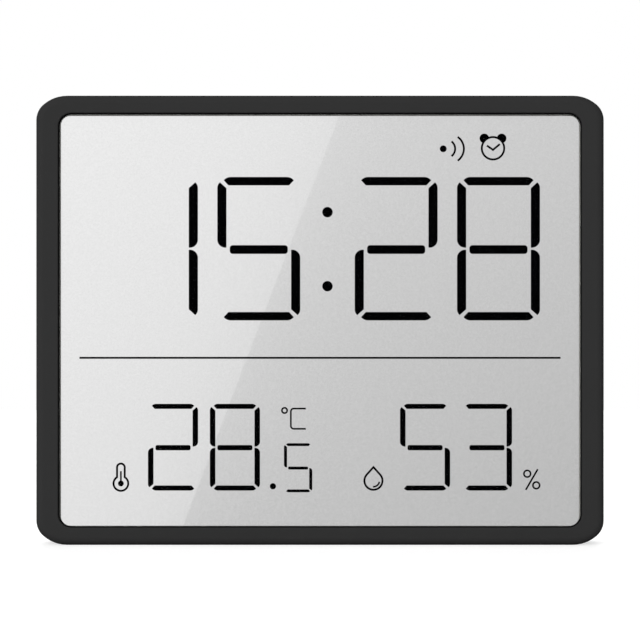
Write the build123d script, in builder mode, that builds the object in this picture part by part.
"""A thin liquid crystal clock with a thermometer and a hygrometer, for a desk or a wall.

Every length is in millimetres. X runs along the width, Z runs up, and the display looks towards -Y.
The origin is on the surface that the clock stands on, in the middle of its width and depth.
"""

from build123d import *
from math import acos, atan2, cos, degrees, radians, sin
import os

os.makedirs("parts", exist_ok=True)

# Case
case_width = 144.0
case_height = 114.0
corner_width = 7.9  # a corner's rounding, along the width
corner_height = 6.2  # the same corner, along the height
tight_corner_share = 0.84  # radius beside the upright edge, as a share of corner_height
front_edge_round = 2.0
rear_edge_round = 3.0
parting_depth = 10.25  # front frame's depth, from its face to the joint with the rear case
parting_groove = 0.25
side_wall = 3.8
top_wall = 2.0
rear_wall = 2.0
inner_wall = 1.2
pocket_corner = 1.5
overrun = 1.0  # how far a cut runs past the face that it opens
fit_gap = 0.3  # between a loose insert and its pocket
slip_gap = 0.1  # between plates that lie on each other
screw_gap = 0.02  # between a screw or pin and the plastic that it bites in

# Window, gasket and lens
bezel_side = 5.7
bezel_top = 4.5
bezel_lip = 0.9
window_corner = 3.3
window_edge_round = 0.3
gasket_show = 0.35
gasket_thickness = 0.25
lens_thickness = 1.5

# Liquid crystal display
film_thickness = 0.2
glass_thickness = 0.7
liquid_gap = 0.1
seal_width = 0.9
contact_ledge = 1.5

# Cells and their bay
cell_diameter = 10.5
cell_length = 44.5
cell_nub_length = 0.9
cell_nub_radius = 1.9
cell_edge_round = 0.6
cell_play = 0.55
cell_gap = 0.4
spring_length = 4.0
spring_wire_radius = 0.3
spring_base_radius = 3.2
spring_tip_radius = 2.0
spring_turns = 3.5
spring_seat = 0.02  # between its first turn and the contact plate
contact_thickness = 0.3
contact_side = 8.6
contact_tab_width = 2.4
contact_tab_height = 8.5
bay_floor = 1.0

# Battery cover
cover_thickness = 1.6
cover_margin = 2.9  # the cover's overlap on the rim of the bay
cover_corner = 2.0
cover_gap = 0.2
cover_tab_width = 8.0
cover_tab_reach = 1.6
cover_tab_thickness = 0.8
cover_tab_spacing = 34.0
latch_width = 12.0
latch_slit = 1.0
latch_length = 7.0
latch_nose = 0.15
grip_width = 8.0
grip_slot = 0.8
grip_depth = 0.4
grip_pitch = 1.7
grip_count = 3
finger_notch_radius = 6.0
finger_notch_reach = 3.6

# Fold-out stand
stand_width = 46.0
stand_thickness = 2.4
stand_inset = 0.2
stand_gap = 0.4
stand_corner = 4.0
stand_foot_height = 5.0  # the leg's tip above the base
stand_panel_margin = 6.0
stand_panel_depth = 0.4
stop_reach = 2.6  # from the hinge to the corner of the heel that stops the leg
stop_angle = 21.0
stop_width = 12.0
barrel_radius = 1.8
pin_radius = 0.8
pin_bite = 3.0
pin_play = 0.06
thumb_width = 18.0
thumb_rise = 5.0
foot_pad_margin = 1.5  # from the thumb notch and the corner of the leg
foot_pad_thickness = 1.4
foot_pad_height = 1.6
foot_pad_stand_out = 0.2

# Hanging keyhole
keyhole_radius = 4.25
keyhole_slot = 4.5
keyhole_rise = 5.5
keyhole_pocket = 3.6

# Buttons
button_count = 4
button_pitch = 11.0
button_width = 11.0
button_height = 5.6
button_inset = 22.0  # from the side of the case to the button's middle
button_play = 0.2
button_stand_out = 0.6
button_travel = 0.6
button_flange = 0.8
button_edge_round = 0.4
button_mark = 1.1
button_mark_depth = 0.2
panel_width = 16.0
panel_margin = 2.6
panel_depth = 0.8
switch_side = 6.0
switch_height = 3.0
plunger_radius = 1.6
plunger_stand_out = 0.9
plunger_root = 0.8

# Vent and sound holes
vent_inset = 22.0
vent_length = 15.0
vent_width = 1.6
vent_pitch = 3.4
vent_count = 5
sound_radius = 0.8
sound_ring_radius = 4.0
sound_hole_count = 6

# Display carrier, circuit board and screws
carrier_thickness = 1.5
post_height = 3.45
post_radius = 2.2
post_inset = 32.0
post_margin = 7.5
board_thickness = 1.6
board_corner = 1.5
board_side_gap = 15.0
board_base_gap = 0.4
board_screw_radius = 0.95
board_screw_bite = 3.0
board_head_radius = 1.9
board_head_height = 1.2
case_post_radius = 3.4
case_post_top = 2.55  # above the back of the carrier
boss_radius = 4.0
boss_inset = 9.5
screw_radius = 1.25
screw_bite = 3.2
screw_head_radius = 2.4
screw_head_height = 1.6
screw_head_sink = 3.2
screw_hole_gap = 0.2
screw_recess_length = 3.0
screw_recess_width = 0.6
screw_recess_depth = 0.9
lug_length = 8.0
lug_height = 0.6
lug_depth = 1.3
rib_length = 7.0
rib_thickness = 1.2
rib_overlap = 1.6
rib_root = 3.0

# Parts on the circuit board
chip_radius = 6.0
chip_height = 1.3
crystal_radius = 1.0
crystal_length = 6.0
electrolytic_radius = 2.0
electrolytic_height = 4.6
electrolytic_edge_round = 0.3
electrolytic_margin = 5.1  # from the housing of the stand
resistor_length = 2.0
resistor_width = 1.25
resistor_height = 0.5
resistor_pitch = 3.2
resistor_count = 6
sensor_length = 8.0
sensor_width = 6.0
sensor_height = 1.8
sensor_slot = 0.7
sensor_slot_count = 4
thermistor_radius = 1.0
thermistor_lead = 0.22
thermistor_stand = 2.6
piezo_radius = 9.5
piezo_ceramic_radius = 6.5
piezo_thickness = 0.25
chamber_height = 1.0
zebra_length = 92.0
zebra_width = 1.3
lead_radius = 0.5
lead_bend = 2.0
lead_gap = 0.35  # from the housings that the leads pass
buzzer_lead_radius = 0.3
buzzer_lead_bend = 0.9
buzzer_lead_reach = 3.2

# Digits, as shares of a digit's height. The first four places are on its top bar, from the left edge.
digit_width_share = 0.578
bar_share = 0.0583
bar_tip_shares = (0.0447, 0.0230)
bar_bow_shares = (0.0645, 0.0068)
bar_shoulder_share = 0.0901
bar_heel_share = 0.0775
upright_share = 0.0635
upright_tip_shares = (0.0182, 0.0370)
upright_bow_shares = (0.0052, 0.0540)
upright_shoulder_share = 0.0733
upright_heel_share = 0.0775
upright_end_share = 0.4923
upright_turn_share = 0.4372
middle_inset_share = 0.0866
middle_share = 0.0608
middle_drop_share = 0.0059
middle_corner_share = 0.0209

# Places on the display, as shares of the clear window's width and height from its middle
time_height_share = 0.3498
reading_height_share = 0.2115
decimal_height_share = 0.1197
time_row_share = 0.1746
time_centre_share = 0.0144
time_pair_share = 0.2312
time_pitch_share = 0.1974
reading_pitch_share = 0.1194
reading_row_share = -0.3096
temperature_centre_share = -0.2238
humidity_centre_share = 0.2624
decimal_place_shares = (-0.0422, -0.3598)
point_place_shares = (-0.0908, -0.4049)
colon_rise_share = 0.0903
colon_drop_share = 0.0012
colon_radius = 1.33
point_radius = 0.79
divider_length_share = 0.9280
divider_row_share = -0.0916
divider_thickness = 0.5

# Signs beside the readings, in the display's own line weights
line_weight = 0.52
thin_line = 0.44
sound_sign_shares = (0.2377, 0.4183)
sound_sign_dot = 0.87
sound_sign_reaches = (3.03, 5.25)  # from the dot to each wave
sound_sign_radii = (2.39, 3.69)
sound_sign_half_angles = (52.0, 55.0)
alarm_sign_shares = (0.3337, 0.4196)
alarm_sign_radius = 3.11
alarm_bell_radius = 1.21
alarm_bell_shares = (0.71, 0.81)
alarm_hand_shares = ((-0.50, 0.22), (0.0, -0.13), (0.56, 0.34))
thermometer_sign_shares = (-0.3841, -0.3981)
thermometer_bulb_radius = 2.13
thermometer_tube_width = 2.47
thermometer_rise = 4.08
thermometer_core_radius = 0.74
thermometer_core_rise = 2.96
drop_sign_shares = (0.1031, -0.3914)
drop_radius = 2.56
drop_rise = 3.85
drop_glint_radius = 1.53
drop_glint_angles = (-95.0, -10.0)
degree_shares = (-0.0684, -0.2200)
degree_radius = 0.89
celsius_shares = (-0.0418, -0.2401)
celsius_width = 3.81
celsius_height = 5.15
celsius_corner = 0.75
percent_shares = (0.4085, -0.3885)
percent_ring_radius = 1.07
percent_ring_offset_shares = (1.07, 1.38)
percent_stroke_shares = (1.43, 2.46)

# Depths, from the face of the bezel at the front to the back of the battery cover
lens_depth = bezel_lip + gasket_thickness
film_depth = lens_depth + lens_thickness + slip_gap
front_glass_depth = film_depth + film_thickness
liquid_depth = front_glass_depth + glass_thickness
rear_glass_depth = liquid_depth + liquid_gap
reflector_depth = rear_glass_depth + glass_thickness
display_depth = reflector_depth + film_thickness
bay_floor_depth = display_depth + 2 * slip_gap
bay_depth = bay_floor_depth + bay_floor
cover_depth = bay_depth + cell_diameter + cell_play
case_depth = cover_depth + cover_thickness

front_y = -case_depth / 2
rear_y = case_depth / 2
lip_y = front_y + bezel_lip
lens_y = front_y + lens_depth
lens_back_y = lens_y + lens_thickness
film_y = front_y + film_depth
front_glass_y = front_y + front_glass_depth
liquid_y = front_y + liquid_depth
rear_glass_y = front_y + rear_glass_depth
reflector_y = front_y + reflector_depth
carrier_y = front_y + display_depth
carrier_back_y = carrier_y + carrier_thickness
case_post_y = carrier_back_y + case_post_top
parting_y = front_y + parting_depth
board_y = carrier_back_y + post_height
board_back_y = board_y + board_thickness
rear_inner_y = rear_y - rear_wall
bay_floor_y = front_y + bay_floor_depth
bay_y = front_y + bay_depth
cover_y = front_y + cover_depth
rim_y = cover_y - inner_wall
middle_z = case_height / 2

# Openings and inserts of the front frame
window_width = case_width - 2 * bezel_side
window_height = case_height - 2 * bezel_top
clear_width = window_width - 2 * gasket_show
clear_height = window_height - 2 * gasket_show
pocket_width = case_width - 2 * side_wall
pocket_height = case_height - 2 * top_wall
lens_width = pocket_width - 2 * fit_gap
lens_height = pocket_height - 2 * fit_gap
lens_corner = pocket_corner - fit_gap
seal_inner_width = clear_width + 2 * slip_gap
seal_inner_height = clear_height + 2 * slip_gap
seal_outer_width = seal_inner_width + 2 * seal_width
seal_outer_height = seal_inner_height + 2 * seal_width
glass_width = seal_outer_width + 2 * slip_gap
glass_height = seal_outer_height + 2 * slip_gap
glass_base_z = middle_z - glass_height / 2
glass_top_z = middle_z + glass_height / 2

# Places up the back, from the keyhole at the top down to the stand, which takes what height is left
keyhole_top_z = case_height - top_wall - keyhole_radius - slip_gap
keyhole_z = keyhole_top_z - keyhole_rise
keyhole_side = keyhole_radius + slip_gap
cell_pitch = cell_diameter + cell_gap
bay_length = cell_length + spring_length + 2 * contact_thickness
bay_height = cell_pitch + cell_diameter + 2 * cover_gap
bay_end = bay_length / 2
cell_axis_y = bay_y + cell_diameter / 2
cover_width = bay_length + 2 * cover_margin + 2 * inner_wall
cover_height = bay_height + 2 * cover_margin
cover_top_z = keyhole_z - keyhole_radius - 2 * inner_wall
cover_base_z = cover_top_z - cover_height
rim_top_z = cover_top_z + cover_tab_reach + cover_gap
bay_z = cover_top_z - cover_height / 2
cell_rows = (bay_z + cell_pitch / 2, bay_z - cell_pitch / 2)
tab_y = bay_y + contact_tab_height
hinge_z = cover_base_z - finger_notch_reach - inner_wall - stop_reach - slip_gap
hinge_y = rear_y - stand_inset - barrel_radius
stand_back_y = rear_y - stand_inset
stand_y = stand_back_y - stand_thickness
stand_floor_y = stand_y - fit_gap
trough_floor_y = hinge_y - barrel_radius - fit_gap
trough_base_z = hinge_z - barrel_radius - stand_gap
stand_side = stand_width / 2 + stand_gap
stand_base_z = stand_foot_height - stand_gap
stand_top_z = hinge_z + stop_reach + slip_gap
board_width = case_width - 2 * board_side_gap
board_base_z = top_wall + board_base_gap
board_top_z = hinge_z + barrel_radius
board_height = board_top_z - board_base_z
board_z = board_base_z + board_height / 2
zebra_top_z = board_base_z + zebra_width
boss_x = case_width / 2 - boss_inset
boss_places = [(x, z) for x in (-boss_x, boss_x) for z in (boss_inset, case_height - boss_inset)]
board_screw_x = case_width / 2 - post_inset
board_screw_rows = (board_base_z + post_margin, board_top_z - post_margin)
board_screw_places = [(x, z) for x in (-board_screw_x, board_screw_x) for z in board_screw_rows]
button_x = case_width / 2 - button_inset
button_places = [
    (button_x, board_z + (i - (button_count - 1) / 2) * button_pitch) for i in range(button_count)
]
panel_height = (button_count - 1) * button_pitch + button_height + 2 * panel_margin
panel_y = rear_y - panel_depth
flange_y = rear_inner_y - slip_gap
switch_y = board_back_y + switch_height
plunger_y = switch_y + plunger_stand_out
plunger_root_y = switch_y - plunger_root
sound_share = 0.26  # places above and below the board's middle, as shares of its height
vent_share = -0.24
sensor_x = -(case_width / 2 - vent_inset)
sound_place = (sensor_x, board_z + sound_share * board_height)
vent_z = board_z + vent_share * board_height
sensor_z = vent_z + sensor_width
chamber_y = rear_inner_y - chamber_height
piezo_y = chamber_y - piezo_thickness
ceramic_y = piezo_y - piezo_thickness


def facing(y):
    """A sketch plane across the depth: its x is the width, its y the height, and it extrudes to the front."""
    return Plane.XZ.offset(-y)


def case_face():
    """The outline of the case. Each corner is two arcs that meet smoothly, tighter beside the upright edge."""
    tight = tight_corner_share * corner_height
    wide = ((corner_width - tight) ** 2 + corner_height**2 - tight**2) / (2 * (corner_height - tight))
    half_width = case_width / 2
    side = Vector(half_width, middle_z - corner_height)
    top = Vector(half_width - corner_width, middle_z)
    wide_centre = top - Vector(0, wide)
    tight_centre = side - Vector(tight, 0)
    seam = wide_centre + (tight_centre - wide_centre).normalized() * wide
    with BuildLine() as corner:
        Line((half_width, 0), side)
        TangentArc(side, seam, tangent=(0, 1))
        TangentArc(seam, top, tangent=corner.edges().sort_by(Axis.Y)[-1] % 1)
        Line(top, (0, middle_z))
        mirror(about=Plane.YZ)
        mirror(about=Plane.XZ)
    with BuildSketch(mode=Mode.PRIVATE) as outline:
        add(corner.line)
        make_face()
    with Locations((0, middle_z)):
        add(outline.sketch)


def plate(width, height, corner, mode=Mode.ADD):
    """A rounded rectangle in the middle of the display."""
    with Locations((0, middle_z)):
        RectangleRounded(width, height, corner, mode=mode)


def about(middle, length):
    """The two ends of a length about its middle."""
    return (middle - length / 2, middle + length / 2)


def block(x, y, z, mode=Mode.ADD):
    """A box between two places along each axis."""
    with Locations(((x[0] + x[1]) / 2, (y[0] + y[1]) / 2, (z[0] + z[1]) / 2)):
        Box(x[1] - x[0], y[1] - y[0], z[1] - z[0], mode=mode)


def pegs(radius, near, far, places, mode=Mode.ADD):
    """Round bars along the depth, from one depth to another further back, at places on the face."""
    with BuildSketch(facing(far)) as ends:
        with Locations(*places):
            Circle(radius)
    extrude(ends.sketch, amount=far - near, mode=mode)


def cross_bar(radius, start_x, end_x, mode=Mode.ADD):
    """A round bar along the width, on the axis of the stand's hinge."""
    with BuildSketch(Plane.YZ.offset(start_x)) as end:
        with Locations((hinge_y, hinge_z)):
            Circle(radius)
    extrude(end.sketch, amount=end_x - start_x, mode=mode)


def screws(places, tip, seat, radius, head_radius, head_height):
    """Screws with a cross recess, from the depth of their tips to the seat of their heads."""
    pegs(radius, tip, seat, places)
    pegs(head_radius, seat, seat + head_height, places)
    for turn in (0, 90):
        with BuildSketch(facing(seat + head_height)) as recess:
            with Locations(*places):
                Rectangle(screw_recess_length, screw_recess_width, rotation=turn)
        extrude(recess.sketch, amount=screw_recess_depth, mode=Mode.SUBTRACT)


def wire(points, radius, bend):
    """A round wire along points, bent at each of the inner ones."""
    with BuildLine() as path:
        FilletPolyline(*points, radius=bend)
    with BuildSketch(Plane(origin=path.line @ 0, z_dir=path.line % 0)) as section:
        Circle(radius)
    sweep(section.sketch, path=path.line)


def shown(shares):
    """The place on the face that two shares of the clear window stand for."""
    return Vector(shares[0] * clear_width, middle_z + shares[1] * clear_height)


def save(piece, name):
    """Names a finished piece and writes it to its own file."""
    piece.part.label = name
    export_step(piece.part, f"parts/{name}.step")


# Front frame: the bezel, with the pocket that takes the lens and the display from behind
with BuildPart() as front_frame:
    with BuildSketch(facing(parting_y)):
        case_face()
    extrude(amount=parting_depth)
    fillet(front_frame.faces().sort_by(Axis.Y)[0].edges(), radius=front_edge_round)
    chamfer(front_frame.faces().sort_by(Axis.Y)[-1].edges(), length=parting_groove)
    with BuildSketch(facing(parting_y)):
        plate(pocket_width, pocket_height, pocket_corner)
    extrude(amount=parting_depth - bezel_lip, mode=Mode.SUBTRACT)
    with BuildSketch(facing(lip_y)):
        plate(window_width, window_height, window_corner)
    extrude(amount=bezel_lip, mode=Mode.SUBTRACT)
    fillet(front_frame.faces().sort_by(Axis.Y)[0].inner_wires()[0].edges(), radius=window_edge_round)
    # Lugs on the upright walls hold the display carrier
    for lug_z in (middle_z - pocket_height / 3, middle_z, middle_z + pocket_height / 3):
        with BuildSketch(Plane.XY.offset(lug_z)):
            with BuildLine():
                Polyline(
                    (pocket_width / 2, carrier_back_y),
                    (pocket_width / 2 - lug_height, carrier_back_y),
                    (pocket_width / 2, carrier_back_y + lug_depth),
                    close=True,
                )
            make_face()
            mirror(about=Plane.YZ)
        extrude(amount=lug_length / 2, both=True)
save(front_frame, "front_frame")

# Gasket between the lip of the bezel and the lens
with BuildPart() as lens_gasket:
    with BuildSketch(facing(lens_y)):
        plate(lens_width, lens_height, lens_corner)
        plate(clear_width, clear_height, window_corner - gasket_show, Mode.SUBTRACT)
    extrude(amount=gasket_thickness)
save(lens_gasket, "lens_gasket")

with BuildPart() as display_lens:
    with BuildSketch(facing(lens_back_y)):
        plate(lens_width, lens_height, lens_corner)
    extrude(amount=lens_thickness)
save(display_lens, "display_lens")

# Display: two films outside two glasses, with a seal round the liquid crystal
layers = {
    "front_polariser": (film_y, film_thickness, glass_base_z),
    "front_glass": (front_glass_y, glass_thickness, glass_base_z - contact_ledge),
    "rear_glass": (rear_glass_y, glass_thickness, glass_base_z),
    "reflector": (reflector_y, film_thickness, glass_base_z),
}
for layer_name, (layer_y, layer_thickness, layer_base_z) in layers.items():
    with BuildPart() as layer:
        block(about(0, glass_width), (layer_y, layer_y + layer_thickness), (layer_base_z, glass_top_z))
    save(layer, layer_name)

with BuildPart() as display_seal:
    with BuildSketch(facing(rear_glass_y)):
        plate(seal_outer_width, seal_outer_height, window_corner)
        plate(seal_inner_width, seal_inner_height, window_corner - seal_width, Mode.SUBTRACT)
    extrude(amount=liquid_gap)
save(display_seal, "display_seal")

figure_bars = {
    "1": "right upper, right lower",
    "2": "top, right upper, middle, left lower, bottom",
    "3": "top, right upper, middle, right lower, bottom",
    "5": "top, left upper, middle, right lower, bottom",
    "8": "top, left upper, right upper, middle, left lower, right lower, bottom",
}


def figure(digit, height, place):
    """The lit bars of one digit, about a place on the face."""

    def spot(across, down, right, low):
        x = (across - digit_width_share / 2) * height
        z = (1 / 2 - down) * height
        return place + Vector(-x if right else x, -z if low else z)

    for bar in figure_bars[digit].split(", "):
        right, low = "right" in bar, "lower" in bar or "bottom" in bar
        if bar == "middle":
            length = (digit_width_share - 2 * middle_inset_share) * height
            with Locations(place - Vector(0, middle_drop_share * height)):
                RectangleRounded(length, middle_share * height, middle_corner_share * height)
            continue
        with BuildLine() as outline:
            if bar in ("top", "bottom"):
                ends = []
                for side in (False, True):
                    tip = spot(*bar_tip_shares, side, low)
                    shoulder = spot(bar_shoulder_share, 0, side, low)
                    heel = spot(bar_heel_share, bar_share, side, low)
                    ThreePointArc(tip, spot(*bar_bow_shares, side, low), shoulder)
                    Line(tip, heel)
                    ends.append((shoulder, heel))
                Line(ends[0][0], ends[1][0])
                Line(ends[0][1], ends[1][1])
            else:
                tip = spot(*upright_tip_shares, right, low)
                shoulder = spot(0, upright_shoulder_share, right, low)
                turn = spot(0, upright_turn_share, right, low)
                end = spot(upright_share, upright_end_share, right, low)
                ThreePointArc(tip, spot(*upright_bow_shares, right, low), shoulder)
                Line(shoulder, turn)
                TangentArc(turn, end, tangent=turn - shoulder)
                Polyline(end, spot(upright_share, upright_heel_share, right, low), tip)
        make_face(outline.edges())


def figures(digits, height, pitch, place):
    """A row of digits about a place on the face."""
    for i, digit in enumerate(digits):
        figure(digit, height, place + Vector((i - (len(digits) - 1) / 2) * pitch, 0))


def ring(radius, weight):
    """A circle's line of one weight, inside its radius."""
    Circle(radius)
    Circle(radius - weight, mode=Mode.SUBTRACT)


def upright_slot(rise, width, mode=Mode.ADD):
    """A slot with round ends that rises from a place."""
    with Locations((0, rise / 2)):
        SlotCenterToCenter(rise, width, rotation=90, mode=mode)


time_place = shown((time_centre_share, time_row_share))
time_shift = Vector(time_pair_share * clear_width, 0)
time_height = time_height_share * clear_height
time_pitch = time_pitch_share * clear_width
reading_height = reading_height_share * clear_height
reading_pitch = reading_pitch_share * clear_width

with BuildPart() as time_digits:
    with BuildSketch(facing(rear_glass_y)):
        figures("15", time_height, time_pitch, time_place - time_shift)
        figures("28", time_height, time_pitch, time_place + time_shift)
    extrude(amount=liquid_gap)
save(time_digits, "time_digits")

with BuildPart() as time_colon:
    with BuildSketch(facing(rear_glass_y)):
        with Locations(time_place - Vector(0, colon_drop_share * clear_height)):
            with GridLocations(0, 2 * colon_rise_share * clear_height, 1, 2):
                Circle(colon_radius)
    extrude(amount=liquid_gap)
save(time_colon, "time_colon")

with BuildPart() as temperature_digits:
    with BuildSketch(facing(rear_glass_y)):
        temperature_place = shown((temperature_centre_share, reading_row_share))
        figures("28", reading_height, reading_pitch, temperature_place)
        figure("5", decimal_height_share * clear_height, shown(decimal_place_shares))
        with Locations(shown(point_place_shares)):
            Circle(point_radius)
    extrude(amount=liquid_gap)
save(temperature_digits, "temperature_digits")

with BuildPart() as humidity_digits:
    with BuildSketch(facing(rear_glass_y)):
        humidity_place = shown((humidity_centre_share, reading_row_share))
        figures("53", reading_height, reading_pitch, humidity_place)
    extrude(amount=liquid_gap)
save(humidity_digits, "humidity_digits")

with BuildPart() as dividing_line:
    with BuildSketch(facing(rear_glass_y)):
        with Locations(shown((0, divider_row_share))):
            Rectangle(divider_length_share * clear_width, divider_thickness)
    extrude(amount=liquid_gap)
save(dividing_line, "dividing_line")

with BuildPart() as sound_sign:
    with BuildSketch(facing(rear_glass_y)):
        sign_place = shown(sound_sign_shares)
        with Locations(sign_place):
            Circle(sound_sign_dot)
        for reach, radius, half in zip(sound_sign_reaches, sound_sign_radii, sound_sign_half_angles):
            with BuildLine():
                CenterArc(sign_place + Vector(reach - radius, 0), radius, -half, 2 * half)
            trace(line_width=line_weight)
    extrude(amount=liquid_gap)
save(sound_sign, "sound_sign")

with BuildPart() as alarm_sign:
    with BuildSketch(facing(rear_glass_y)):
        alarm_place = shown(alarm_sign_shares)
        with Locations(alarm_place + Vector(0, alarm_bell_shares[1] * alarm_sign_radius)):
            with GridLocations(2 * alarm_bell_shares[0] * alarm_sign_radius, 0, 2, 1):
                Circle(alarm_bell_radius)
        with Locations(alarm_place):
            ring(alarm_sign_radius, line_weight)
        with BuildLine():
            Polyline(*(alarm_place + Vector(u, v) * alarm_sign_radius for u, v in alarm_hand_shares))
        trace(line_width=line_weight)
    extrude(amount=liquid_gap)
save(alarm_sign, "alarm_sign")

with BuildPart() as thermometer_sign:
    with BuildSketch(facing(rear_glass_y)):
        with Locations(shown(thermometer_sign_shares)):
            Circle(thermometer_bulb_radius)
            upright_slot(thermometer_rise, thermometer_tube_width)
            Circle(thermometer_bulb_radius - line_weight, mode=Mode.SUBTRACT)
            upright_slot(thermometer_rise, thermometer_tube_width - 2 * line_weight, Mode.SUBTRACT)
            Circle(thermometer_core_radius)
            upright_slot(thermometer_core_rise, thin_line)
    extrude(amount=liquid_gap)
save(thermometer_sign, "thermometer_sign")

with BuildPart() as drop_sign:
    with BuildSketch(facing(rear_glass_y)):
        drop_place = shown(drop_sign_shares)
        for radius, mode in ((drop_radius, Mode.ADD), (drop_radius - line_weight, Mode.SUBTRACT)):
            rise = drop_rise * radius / drop_radius
            lean = acos(radius / rise)
            with BuildLine():
                Polyline(
                    drop_place + Vector(-sin(lean), cos(lean)) * radius,
                    drop_place + Vector(0, rise),
                    drop_place + Vector(sin(lean), cos(lean)) * radius,
                    close=True,
                )
            make_face(mode=mode)
            with Locations(drop_place):
                Circle(radius, mode=mode)
        with BuildLine():
            start, stop = drop_glint_angles
            CenterArc(drop_place, drop_glint_radius, start, stop - start)
        trace(line_width=thin_line)
    extrude(amount=liquid_gap)
save(drop_sign, "drop_sign")

with BuildPart() as celsius_sign:
    with BuildSketch(facing(rear_glass_y)):
        with Locations(shown(degree_shares)):
            ring(degree_radius, thin_line)
        celsius_place = shown(celsius_shares)
        corner = Vector(celsius_width, celsius_height) / 2
        with BuildLine():
            FilletPolyline(
                celsius_place + corner,
                celsius_place + Vector(-corner.X, corner.Y),
                celsius_place - corner,
                celsius_place + Vector(corner.X, -corner.Y),
                radius=celsius_corner,
            )
        trace(line_width=thin_line)
    extrude(amount=liquid_gap)
save(celsius_sign, "celsius_sign")

with BuildPart() as percent_sign:
    with BuildSketch(facing(rear_glass_y)):
        percent_place = shown(percent_shares)
        ring_shift = Vector(-percent_ring_offset_shares[0], percent_ring_offset_shares[1])
        for side in (-1, 1):
            with Locations(percent_place + ring_shift * side * percent_ring_radius):
                ring(percent_ring_radius, thin_line)
        stroke = Vector(*percent_stroke_shares) * percent_ring_radius
        with BuildLine():
            Line(percent_place - stroke, percent_place + stroke)
        trace(line_width=thin_line)
    extrude(amount=liquid_gap)
save(percent_sign, "percent_sign")

# Carrier: a tray that clamps the display and the lens, and holds the board on posts
with BuildPart() as display_carrier:
    with BuildSketch(facing(carrier_back_y)):
        plate(pocket_width - 2 * slip_gap, pocket_height - 2 * slip_gap, lens_corner)
    extrude(amount=carrier_back_y - lens_back_y)
    block(
        about(0, glass_width + 2 * slip_gap),
        (lens_back_y - overrun, carrier_y),
        (-overrun, glass_top_z + slip_gap),
        Mode.SUBTRACT,
    )
    bay_clearance = 2 * (inner_wall + fit_gap)
    for opening_x, opening_z in (
        (about(0, bay_length + bay_clearance), about(bay_z, bay_height + bay_clearance)),
        (about(0, zebra_length + 2 * slip_gap), (-overrun, zebra_top_z + slip_gap)),
    ):
        block(opening_x, (carrier_y - overrun, carrier_back_y + overrun), opening_z, Mode.SUBTRACT)
    pegs(post_radius, carrier_back_y, board_y, board_screw_places)
    pegs(case_post_radius, carrier_back_y, case_post_y, boss_places)
    for hole_radius, bite, post_y, places in (
        (board_screw_radius, board_screw_bite, board_y, board_screw_places),
        (screw_radius, screw_bite, case_post_y, boss_places),
    ):
        pegs(hole_radius + screw_gap, post_y - bite - slip_gap, post_y, places, Mode.SUBTRACT)
save(display_carrier, "display_carrier")

# Zebra strip, from the ledge of the front glass to the board
with BuildPart() as zebra_strip:
    block(about(0, zebra_length), (liquid_y, board_y), (board_base_z, zebra_top_z))
save(zebra_strip, "zebra_strip")

# Circuit board and what it carries
with BuildPart() as main_board:
    with BuildSketch(facing(board_back_y)):
        with Locations((0, board_z)):
            RectangleRounded(board_width, board_height, board_corner)
        with Locations(*board_screw_places):
            Circle(board_screw_radius + screw_hole_gap, mode=Mode.SUBTRACT)
    extrude(amount=board_thickness)
save(main_board, "main_board")

with BuildPart() as controller_chip:
    dome_radius = (chip_radius**2 + chip_height**2) / (2 * chip_height)
    with Locations((0, board_back_y + chip_height - dome_radius, board_z)):
        Sphere(dome_radius)
    split(bisect_by=facing(board_back_y), keep=Keep.BOTTOM)
save(controller_chip, "controller_chip")

crystal_x = 2 * chip_radius
with BuildPart() as watch_crystal:
    with BuildSketch(Plane.XY.offset(board_z - crystal_length / 2)):
        with Locations((crystal_x, board_back_y + crystal_radius)):
            Circle(crystal_radius)
    extrude(amount=crystal_length)
save(watch_crystal, "watch_crystal")

with BuildPart() as electrolytic_capacitor:
    can_x = stand_side + inner_wall + electrolytic_margin + electrolytic_radius
    can_places = [(can_x, board_z)]
    pegs(electrolytic_radius, board_back_y, board_back_y + electrolytic_height, can_places)
    fillet(electrolytic_capacitor.edges().sort_by(Axis.Y)[-1], radius=electrolytic_edge_round)
save(electrolytic_capacitor, "electrolytic_capacitor")

with BuildPart() as chip_resistors:
    for i in range(resistor_count):
        block(
            about(-crystal_x, resistor_length),
            (board_back_y, board_back_y + resistor_height),
            about(board_z + (i - (resistor_count - 1) / 2) * resistor_pitch, resistor_width),
        )
save(chip_resistors, "chip_resistors")

with BuildPart() as humidity_sensor:
    sensor_back_y = board_back_y + sensor_height
    sensor_pitch = sensor_length / (sensor_slot_count + 1)
    block(about(sensor_x, sensor_length), (board_back_y, sensor_back_y), about(sensor_z, sensor_width))
    for i in range(sensor_slot_count):
        block(
            about(sensor_x + (i - (sensor_slot_count - 1) / 2) * sensor_pitch, sensor_slot),
            (sensor_back_y - sensor_slot, sensor_back_y),
            about(sensor_z, sensor_width - 2 * sensor_slot),
            Mode.SUBTRACT,
        )
save(humidity_sensor, "humidity_sensor")

with BuildPart() as thermistor:
    bead_y = board_back_y + thermistor_stand
    with Locations((sensor_x, bead_y, vent_z)):
        Sphere(thermistor_radius)
    bead_places = [(x, vent_z) for x in about(sensor_x, thermistor_radius)]
    pegs(thermistor_lead, board_back_y, bead_y, bead_places)
save(thermistor, "thermistor")

# Push switches, with their plungers and caps
with BuildPart() as switch_bodies:
    for x, z in button_places:
        block(about(x, switch_side), (board_back_y, switch_y), about(z, switch_side))
    socket_y = plunger_root_y - button_travel - slip_gap
    pegs(plunger_radius + pin_play, socket_y, switch_y, button_places, Mode.SUBTRACT)
save(switch_bodies, "switch_bodies")

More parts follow.
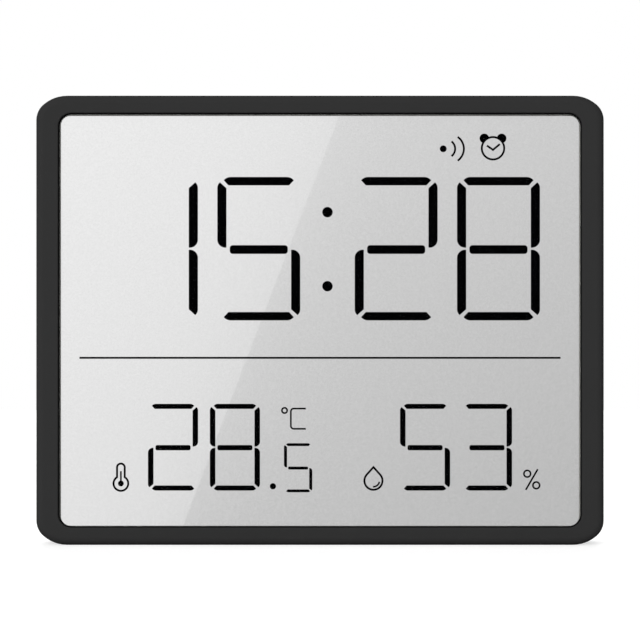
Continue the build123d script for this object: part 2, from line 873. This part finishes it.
cap_y = panel_y + button_stand_out
cap_width = button_width - 2 * button_play
cap_height = button_height - 2 * button_play
for number, place in enumerate(button_places, 1):
    with BuildPart() as plunger:
        pegs(plunger_radius, plunger_root_y, plunger_y, [place])
    save(plunger, f"switch_plunger_{number}")
    with BuildPart() as button:
        with BuildSketch(facing(cap_y)):
            with Locations(place):
                SlotOverall(cap_width, cap_height)
        extrude(amount=cap_y - flange_y)
        fillet(button.faces().sort_by(Axis.Y)[-1].edges(), radius=button_edge_round)
        with BuildSketch(facing(flange_y)):
            with Locations(place):
                SlotOverall(cap_width + 2 * button_flange, cap_height + 2 * button_flange)
        extrude(amount=button_flange)
        pegs(plunger_radius, plunger_y, flange_y, [place])
        # One to four dots tell the buttons apart
        with BuildSketch(facing(cap_y)):
            with Locations(place):
                with GridLocations(2 * button_mark, 0, number, 1):
                    Circle(button_mark / 2)
        extrude(amount=button_mark_depth, mode=Mode.SUBTRACT)
    save(button, f"button_{number}")

# Sounder: a brass disc on the ring round the sound holes, with a ceramic layer and two leads
with BuildPart() as piezo_disc:
    pegs(piezo_radius, piezo_y, chamber_y, [sound_place])
save(piezo_disc, "piezo_disc")

with BuildPart() as piezo_ceramic:
    pegs(piezo_ceramic_radius, ceramic_y, piezo_y, [sound_place])
save(piezo_ceramic, "piezo_ceramic")

with BuildPart() as buzzer_leads:
    for shift, start_y in (
        (piezo_ceramic_radius / 2, ceramic_y),
        ((piezo_radius + piezo_ceramic_radius) / 2, piezo_y),
    ):
        start_x, start_z = sound_place[0] + shift, sound_place[1]
        bend_y = (ceramic_y + board_back_y) / 2
        end_z = start_z - buzzer_lead_reach
        wire(
            [
                (start_x, start_y, start_z),
                (start_x, bend_y, start_z),
                (start_x, bend_y, end_z),
                (start_x, board_back_y, end_z),
            ],
            buzzer_lead_radius,
            buzzer_lead_bend,
        )
save(buzzer_leads, "buzzer_leads")

# One cell, with the end of its nub at the origin. Two lie in opposite directions, one above the other.
with BuildPart() as cell:
    with BuildSketch(Plane.YZ.offset(-cell_length)):
        Circle(cell_diameter / 2)
    extrude(amount=cell_length - cell_nub_length)
    fillet(cell.edges().filter_by(GeomType.CIRCLE), radius=cell_edge_round)
    with BuildSketch(Plane.YZ.offset(-cell_nub_length)):
        Circle(cell_nub_radius)
    extrude(amount=cell_nub_length)

with BuildPart() as battery_cells:
    for side, turn, row_z in zip((1, -1), (0, 180), cell_rows):
        nub_place = (side * (bay_end - contact_thickness), cell_axis_y, row_z)
        with Locations(Location(nub_place, (0, 0, turn))):
            add(cell.part)
save(battery_cells, "battery_cells")


def contact(side, rows, tab_end=0):
    """A contact plate across rows at one end of the bay, with a soldering tab if it has an end."""
    end_x = side * bay_end
    inner_x = end_x - side * contact_thickness
    rows_z = (min(rows) - contact_side / 2, max(rows) + contact_side / 2)
    block(sorted((end_x, inner_x)), about(cell_axis_y, contact_side), rows_z)
    if tab_end:
        tab_depths = (tab_y, tab_y + contact_thickness)
        block(sorted((inner_x, tab_end)), tab_depths, about(rows[0], contact_tab_width))


# One conical spring. Its first turn starts about the origin, and it narrows along the width.
with BuildPart() as conical_spring:
    spring_rise = spring_length - spring_seat - 2 * spring_wire_radius
    with BuildLine() as path:
        Helix(
            pitch=spring_rise / spring_turns,
            height=spring_rise,
            radius=spring_base_radius,
            direction=(1, 0, 0),
            cone_angle=degrees(atan2(spring_tip_radius - spring_base_radius, spring_rise)),
        )
    with BuildSketch(Plane(origin=path.line @ 0, z_dir=path.line % 0)) as section:
        Circle(spring_wire_radius)
    sweep(section.sketch, path=path.line, is_frenet=True)


def spring(side, row_z):
    """A spring from the contact plate at one end of the bay to the flat end of a cell."""
    start_x = side * (bay_end - contact_thickness - spring_seat - spring_wire_radius)
    with Locations(Location((start_x, cell_axis_y, row_z), (0, 0, 90 + side * 90))):
        add(conical_spring.part)


lead_start = max(bay_end + inner_wall, stand_side + pin_bite) + lead_gap + lead_radius
lead_xs = [lead_start + 4 * i * lead_radius for i in (1, 0)]

with BuildPart() as positive_contact:
    contact(1, cell_rows[:1], lead_xs[0] + lead_radius)
save(positive_contact, "positive_contact")

with BuildPart() as negative_contact:
    contact(1, cell_rows[1:], lead_xs[1] + lead_radius)
    spring(1, cell_rows[1])
save(negative_contact, "negative_contact")

with BuildPart() as link_contact:
    contact(-1, cell_rows)
    spring(-1, cell_rows[0])
save(link_contact, "link_contact")

with BuildPart() as battery_leads:
    for lead_x, row_z in zip(lead_xs, cell_rows):
        lead_y = tab_y - lead_radius
        lead_end_z = board_top_z - lead_bend
        wire(
            [
                (lead_x, lead_y, row_z + contact_tab_width / 2),
                (lead_x, lead_y, lead_end_z),
                (lead_x, board_back_y, lead_end_z),
            ],
            lead_radius,
            lead_bend,
        )
save(battery_leads, "battery_leads")

# Rear case: a shell, then the housings inside it, then what is cut into its back
with BuildPart() as rear_case:
    with BuildSketch(facing(rear_y)):
        case_face()
    extrude(amount=rear_y - parting_y)
    fillet(rear_case.faces().sort_by(Axis.Y)[-1].edges(), radius=rear_edge_round)
    chamfer(rear_case.faces().sort_by(Axis.Y)[0].edges(), length=parting_groove)
    with BuildSketch(facing(rear_inner_y)):
        plate(pocket_width, pocket_height, pocket_corner)
    extrude(amount=rear_inner_y - parting_y, mode=Mode.SUBTRACT)

    # Ribs that reach into the front frame, a slip away from its walls
    rib_depths = ((parting_y - rib_overlap, slip_gap), (parting_y, 0))
    for side in (-1, 1):
        for rib_y, away in rib_depths:
            inner, outer = pocket_height / 2 - slip_gap - rib_thickness, pocket_height / 2 - away
            for rib_x in (-boss_x, boss_x):
                rib_z = sorted((middle_z + side * inner, middle_z + side * outer))
                block(about(rib_x, rib_length), (rib_y, parting_y + rib_root), rib_z)
            inner, outer = pocket_width / 2 - slip_gap - rib_thickness, pocket_width / 2 - away
            for rib_z in about(middle_z, pocket_height / 2):
                rib_x = sorted((side * inner, side * outer))
                block(rib_x, (rib_y, parting_y + rib_root), about(rib_z, rib_length))

    # Housings of the cells, the cover, the finger notch, the keyhole, the stand, its hinge and its pins
    for housing_width, housing_y, housing_z in (
        (bay_length + 2 * inner_wall, bay_floor_y, about(bay_z, bay_height + 2 * inner_wall)),
        (
            cover_width + 2 * (cover_gap + inner_wall),
            rim_y,
            (cover_base_z - cover_gap - inner_wall, rim_top_z + inner_wall),
        ),
        (
            2 * (finger_notch_radius + inner_wall),
            rim_y,
            (cover_base_z - finger_notch_reach - inner_wall, cover_base_z),
        ),
        (
            2 * (keyhole_side + inner_wall),
            rear_inner_y - keyhole_pocket - inner_wall,
            (keyhole_z - keyhole_side - inner_wall, case_height - top_wall),
        ),
        (
            2 * (stand_side + inner_wall),
            stand_floor_y - inner_wall,
            (stand_base_z - inner_wall, stand_top_z + inner_wall),
        ),
        (
            2 * (stand_side + inner_wall),
            trough_floor_y - inner_wall,
            (trough_base_z - inner_wall, stand_top_z + inner_wall),
        ),
        (
            2 * (stand_side + pin_bite),
            hinge_y - pin_radius - inner_wall,
            about(hinge_z, 2 * (pin_radius + inner_wall)),
        ),
    ):
        block(about(0, housing_width), (housing_y, rear_inner_y), housing_z)
    pegs(boss_radius, case_post_y, rear_inner_y, boss_places)
    pegs(piezo_radius, chamber_y, rear_inner_y, [sound_place])

    # Cover recess, bay, slots for the cover's tabs and a notch for a finger
    with BuildSketch(facing(rear_y)):
        with Locations((0, bay_z)):
            recess_sides = (cover_width + 2 * cover_gap, cover_height + 2 * cover_gap)
            RectangleRounded(*recess_sides, cover_corner + cover_gap)
        with Locations((0, cover_base_z - finger_notch_reach + finger_notch_radius)):
            Circle(finger_notch_radius)
    extrude(amount=cover_thickness, mode=Mode.SUBTRACT)
    block(about(0, bay_length), (bay_y, rear_y), about(bay_z, bay_height), Mode.SUBTRACT)
    for side in (-1, 1):
        block(
            about(side * cover_tab_spacing / 2, cover_tab_width + 2 * cover_gap),
            (rim_y - overrun, cover_y + cover_tab_thickness + slip_gap),
            (cover_top_z - cover_tab_reach, rim_top_z),
            Mode.SUBTRACT,
        )
    for row_z in cell_rows:
        block(
            (bay_end - overrun, bay_end + inner_wall + overrun),
            (tab_y - slip_gap, tab_y + contact_thickness + slip_gap),
            about(row_z, contact_tab_width + 2 * slip_gap),
            Mode.SUBTRACT,
        )

    # Keyhole, with its pocket for the head of a wall screw
    block(
        about(0, 2 * keyhole_side),
        (rear_inner_y - keyhole_pocket, rear_inner_y),
        (keyhole_z - keyhole_side, case_height - top_wall),
        Mode.SUBTRACT,
    )
    with BuildSketch(facing(rear_y)):
        with Locations((0, keyhole_z)):
            Circle(keyhole_radius)
            upright_slot(keyhole_rise, keyhole_slot)
    extrude(amount=rear_wall, mode=Mode.SUBTRACT)

    # Recess of the stand, the trough of its hinge and the holes of its pins
    with BuildSketch(facing(rear_y)):
        with Locations((0, (stand_base_z + stand_top_z) / 2)):
            RectangleRounded(2 * stand_side, stand_top_z - stand_base_z, stand_corner + stand_gap)
    extrude(amount=rear_y - stand_floor_y, mode=Mode.SUBTRACT)
    block((-stand_side, stand_side), (trough_floor_y, rear_y), (trough_base_z, stand_top_z), Mode.SUBTRACT)
    cross_bar(pin_radius + screw_gap, -stand_side - pin_bite, stand_side + pin_bite, Mode.SUBTRACT)

    # Panel and holes of the buttons
    with BuildSketch(facing(rear_y)):
        with Locations((button_x, board_z)):
            RectangleRounded(panel_width, panel_height, panel_margin)
    extrude(amount=panel_depth, mode=Mode.SUBTRACT)
    with BuildSketch(facing(rear_y)):
        with Locations(*button_places):
            SlotOverall(button_width, button_height)
    extrude(amount=rear_wall, mode=Mode.SUBTRACT)

    # Vent slots, sound holes and screw holes
    with BuildSketch(facing(rear_y)):
        with Locations((sensor_x, vent_z)):
            with GridLocations(0, vent_pitch, 1, vent_count):
                SlotOverall(vent_length, vent_width)
        with Locations(sound_place):
            Circle(sound_radius)
            with PolarLocations(sound_ring_radius, sound_hole_count):
                Circle(sound_radius)
    extrude(amount=rear_wall, mode=Mode.SUBTRACT)
    pegs(piezo_radius - inner_wall, chamber_y, rear_inner_y, [sound_place], Mode.SUBTRACT)
    pegs(screw_radius + screw_hole_gap, case_post_y, rear_y, boss_places, Mode.SUBTRACT)
    pegs(screw_head_radius + screw_hole_gap, rear_y - screw_head_sink, rear_y, boss_places, Mode.SUBTRACT)
save(rear_case, "rear_case")

# Battery cover: two tabs at its top, and a springy latch at its bottom
with BuildPart() as battery_cover:
    with BuildSketch(facing(rear_y)):
        with Locations((0, bay_z)):
            RectangleRounded(cover_width, cover_height, cover_corner)
    extrude(amount=cover_thickness)
    tongue_y = (cover_y, cover_y + cover_tab_thickness)
    for side in (-1, 1):
        tab_z = (cover_top_z - cover_tab_reach, cover_top_z + cover_tab_reach)
        block(about(side * cover_tab_spacing / 2, cover_tab_width), tongue_y, tab_z)
        slit_z = (cover_base_z, cover_base_z + latch_length)
        slit_x = about(side * (latch_width + latch_slit) / 2, latch_slit)
        block(slit_x, (cover_y, rear_y), slit_z, Mode.SUBTRACT)
    block(about(0, latch_width), tongue_y, (cover_base_z - latch_nose, cover_base_z))
    with BuildSketch(facing(rear_y)):
        with Locations((0, cover_base_z + latch_length / 2)):
            with GridLocations(0, grip_pitch, 1, grip_count):
                Rectangle(grip_width, grip_slot)
    extrude(amount=grip_depth, mode=Mode.SUBTRACT)
save(battery_cover, "battery_cover")

# Stand: a leg on a barrel, with a heel that stops it in the trough
pad_start = thumb_width / 2 + foot_pad_margin
pad_end = stand_width / 2 - stand_corner - foot_pad_margin
pad_z = (stand_foot_height, stand_foot_height + foot_pad_height)
pad_depths = about(stand_y + stand_thickness / 2, foot_pad_thickness)
with BuildPart() as stand_leg:
    with BuildSketch(facing(stand_back_y)):
        with Locations((0, (stand_foot_height + hinge_z) / 2)):
            Rectangle(stand_width, hinge_z - stand_foot_height)
    extrude(amount=stand_thickness)
    fillet(stand_leg.edges().filter_by(Axis.Y).group_by(Axis.Z)[0], radius=stand_corner)
    cross_bar(barrel_radius, -stand_width / 2, stand_width / 2)
    heel_y = stop_reach * sin(radians(stop_angle))
    heel_z = stop_reach * cos(radians(stop_angle))
    block(about(0, stop_width), about(hinge_y, 2 * heel_y), (hinge_z, hinge_z + heel_z))
    with BuildSketch(facing(stand_back_y)):
        with Locations((0, stand_foot_height)):
            SlotOverall(thumb_width, 2 * thumb_rise)
    extrude(amount=stand_thickness, mode=Mode.SUBTRACT)
    inset_base_z = stand_foot_height + thumb_rise + stand_panel_margin / 2
    inset_top_z = hinge_z - barrel_radius - stand_panel_margin / 2
    with BuildSketch(facing(stand_back_y)):
        with Locations((0, (inset_base_z + inset_top_z) / 2)):
            inset_width = stand_width - 2 * stand_panel_margin
            RectangleRounded(inset_width, inset_top_z - inset_base_z, stand_corner)
    extrude(amount=stand_panel_depth, mode=Mode.SUBTRACT)
    for side in (-1, 1):
        block(sorted((side * pad_start, side * pad_end)), pad_depths, pad_z, Mode.SUBTRACT)
        bore_x = side * (stand_width / 2 - pin_bite - slip_gap)
        cross_bar(pin_radius + pin_play, bore_x, side * stand_width / 2, Mode.SUBTRACT)
save(stand_leg, "stand_leg")

with BuildPart() as stand_pins:
    for side in (-1, 1):
        cross_bar(pin_radius, side * (stand_width / 2 - pin_bite), side * (stand_side + pin_bite))
save(stand_pins, "stand_pins")

with BuildPart() as stand_foot_pads:
    for side in (-1, 1):
        pad_width = sorted((side * pad_start, side * pad_end))
        block(pad_width, pad_depths, (pad_z[0] - foot_pad_stand_out, pad_z[1]))
save(stand_foot_pads, "stand_foot_pads")

with BuildPart() as case_screws:
    screws(
        boss_places,
        case_post_y - screw_bite,
        rear_y - screw_head_sink,
        screw_radius,
        screw_head_radius,
        screw_head_height,
    )
save(case_screws, "case_screws")

with BuildPart() as board_screws:
    screws(
        board_screw_places,
        board_y - board_screw_bite,
        board_back_y,
        board_screw_radius,
        board_head_radius,
        board_head_height,
    )
save(board_screws, "board_screws")
